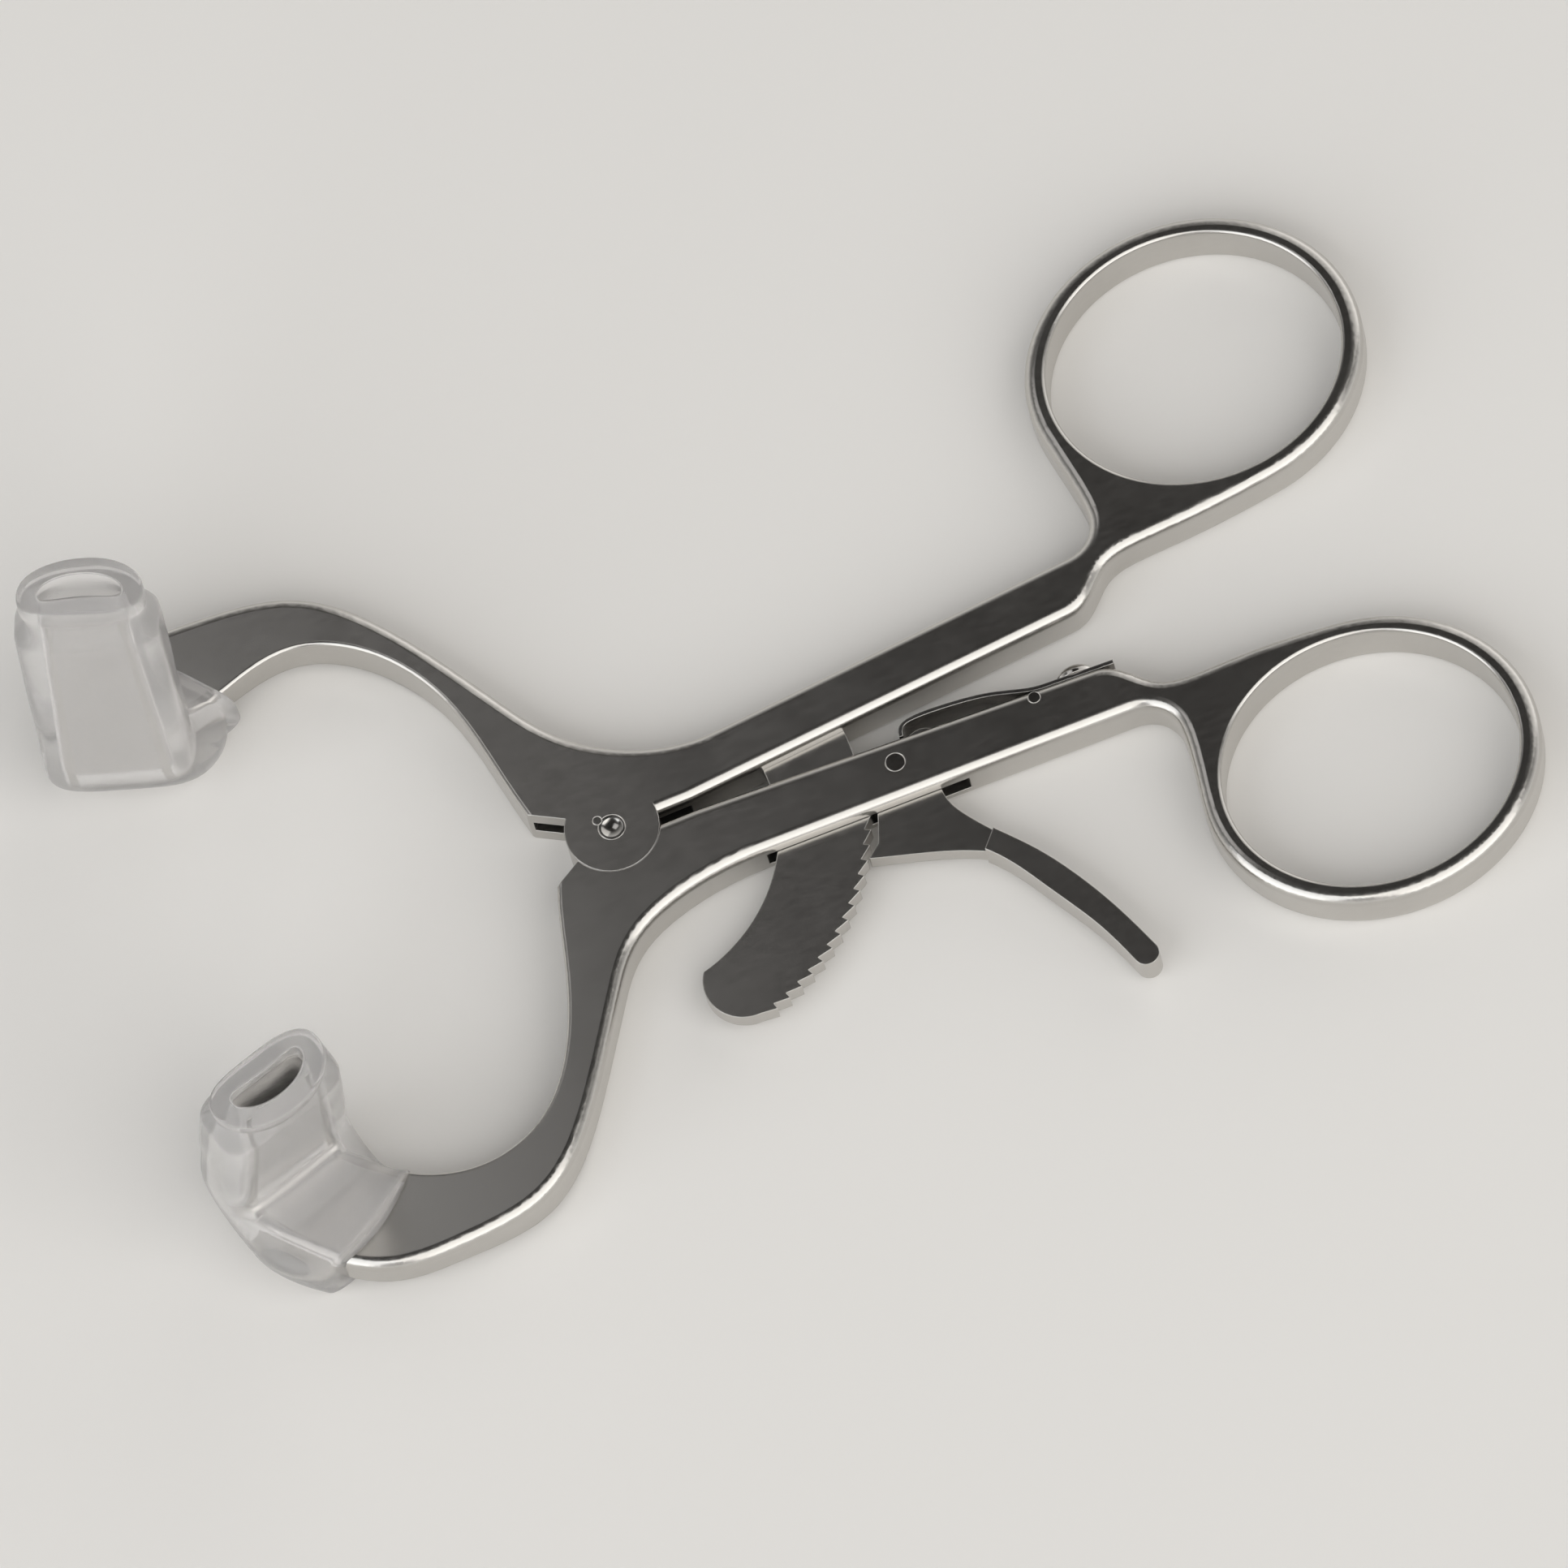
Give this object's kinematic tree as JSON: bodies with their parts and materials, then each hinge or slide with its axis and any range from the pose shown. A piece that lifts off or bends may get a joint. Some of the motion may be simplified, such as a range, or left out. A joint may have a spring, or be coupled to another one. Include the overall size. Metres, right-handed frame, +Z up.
{
  "type": "ratchet mouth gag",
  "caption": "Scissor-type self-retaining mouth gag: finger rings, ratchet bar with release lever, and two curved jaws whose upright blades wear soft sleeves.",
  "frame": {"origin": "on the pivot axis, in the plane of the underside on which the instrument lies", "axes": "+X toward the finger rings, +Y toward the half with the fork, +Z up through the thickness, the way the blades rise"},
  "size_m": [0.1337, 0.0754, 0.033],
  "materials": {
    "satin_steel": "satin",
    "polished_steel": "polished",
    "spring_steel": "satin",
    "soft_sleeve": "milky translucent"
  },
  "bodies": {
    "lower": {"lower_half": "satin_steel", "pawl_pin": "polished_steel", "leaf_spring": "spring_steel", "spring_screw": "polished_steel", "spring_side_pin": "polished_steel", "lower_sleeve": "soft_sleeve"},
    "upper": {"upper_half": "satin_steel", "ratchet_bar": "satin_steel", "pivot_screw": "polished_steel", "pivot_lock_pin": "polished_steel", "upper_sleeve": "soft_sleeve"},
    "pawl": {"release_pawl": "satin_steel"}
  },
  "joints": [
    {"name": "handle_pivot", "type": "hinge", "parent": "lower", "child": "upper", "pos_m": [0, 0, 0.0026], "axis": [0, 0, 1], "range_deg": [-3.72, 44.64]},
    {"name": "pawl_pivot", "type": "hinge", "parent": "lower", "child": "pawl", "pos_m": [0.02715, -0.00485, 0.0026], "axis": [0, 0, 1], "range_deg": [-4, 10], "stiffness_Nm_per_rad": 0.05, "springref_deg": -14.32, "deforming": ["leaf_spring"]}
  ]
}
